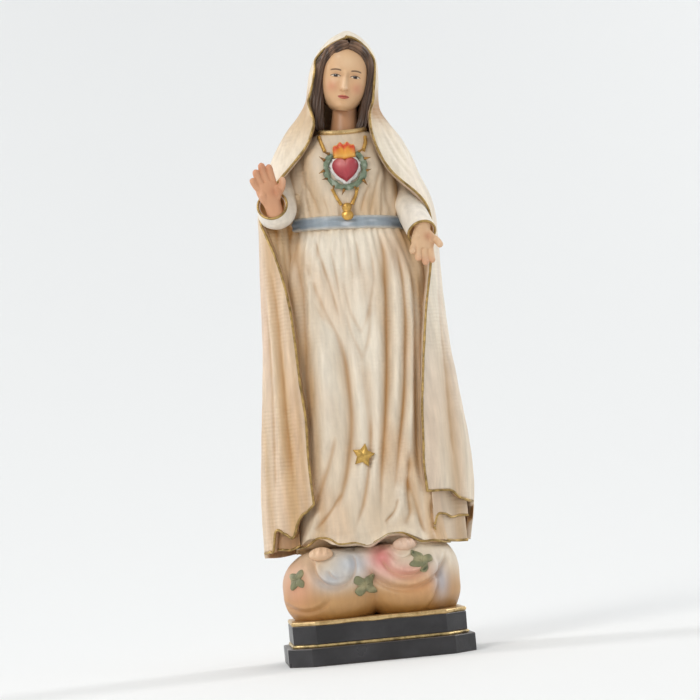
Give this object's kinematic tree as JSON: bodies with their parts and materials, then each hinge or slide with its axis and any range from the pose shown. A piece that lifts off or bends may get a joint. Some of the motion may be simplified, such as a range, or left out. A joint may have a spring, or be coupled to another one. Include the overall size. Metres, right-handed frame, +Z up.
{
  "type": "madonna statue",
  "caption": "Small carved and painted standing madonna in an ivory robe and long gold-edged veil, with a red heart in a thorn wreath, on a cloud and a dark stepped plinth.",
  "frame": {"origin": "middle of the plinth's underside", "axes": "+Z up along the figure, -Y the way the figure faces, +X towards the figure's own left"},
  "size_m": [0.0412, 0.026, 0.12],
  "materials": {
    "robe_ivory": "satin",
    "mantle_ivory": "satin",
    "sash_blue": "satin",
    "aged_gold": "satin",
    "skin": "satin",
    "hair_brown": "satin",
    "cloud_cream": "satin",
    "leaf_green": "satin",
    "plinth_black": "semi-gloss",
    "dowel_wood": "matte",
    "heart_red": "satin",
    "flame_orange": "satin",
    "wreath_green": "satin",
    "thorn_brown": "satin"
  },
  "bodies": {
    "root": {"plinth_base": "plinth_black", "plinth_bead": "aged_gold", "plinth_top": "plinth_black", "plinth_rim": "aged_gold", "plinth_dowel": "dowel_wood", "cloud": "cloud_cream", "leaf_sprig_right": "leaf_green", "leaf_sprig_middle": "leaf_green", "leaf_sprig_left": "leaf_green", "foot_right": "skin", "foot_left": "skin", "robe_skirt": "robe_ivory", "robe_bodice": "robe_ivory", "sash": "sash_blue", "hem_gilt": "aged_gold", "collar_gilt": "aged_gold", "mantle": "mantle_ivory", "mantle_gilt_right": "aged_gold", "mantle_gilt_left": "aged_gold", "head": "skin", "hair": "hair_brown", "sleeve_right": "robe_ivory", "sleeve_left": "robe_ivory", "cuff_gilt_right": "aged_gold", "cuff_gilt_left": "aged_gold", "hand_right": "skin", "hand_left": "skin", "heart": "heart_red", "heart_flame": "flame_orange", "thorn_wreath": "wreath_green", "wreath_thorns": "thorn_brown", "chain_upper": "aged_gold", "chain_lower": "aged_gold", "chain_pendant": "aged_gold", "robe_star": "aged_gold"}
  },
  "joints": []
}
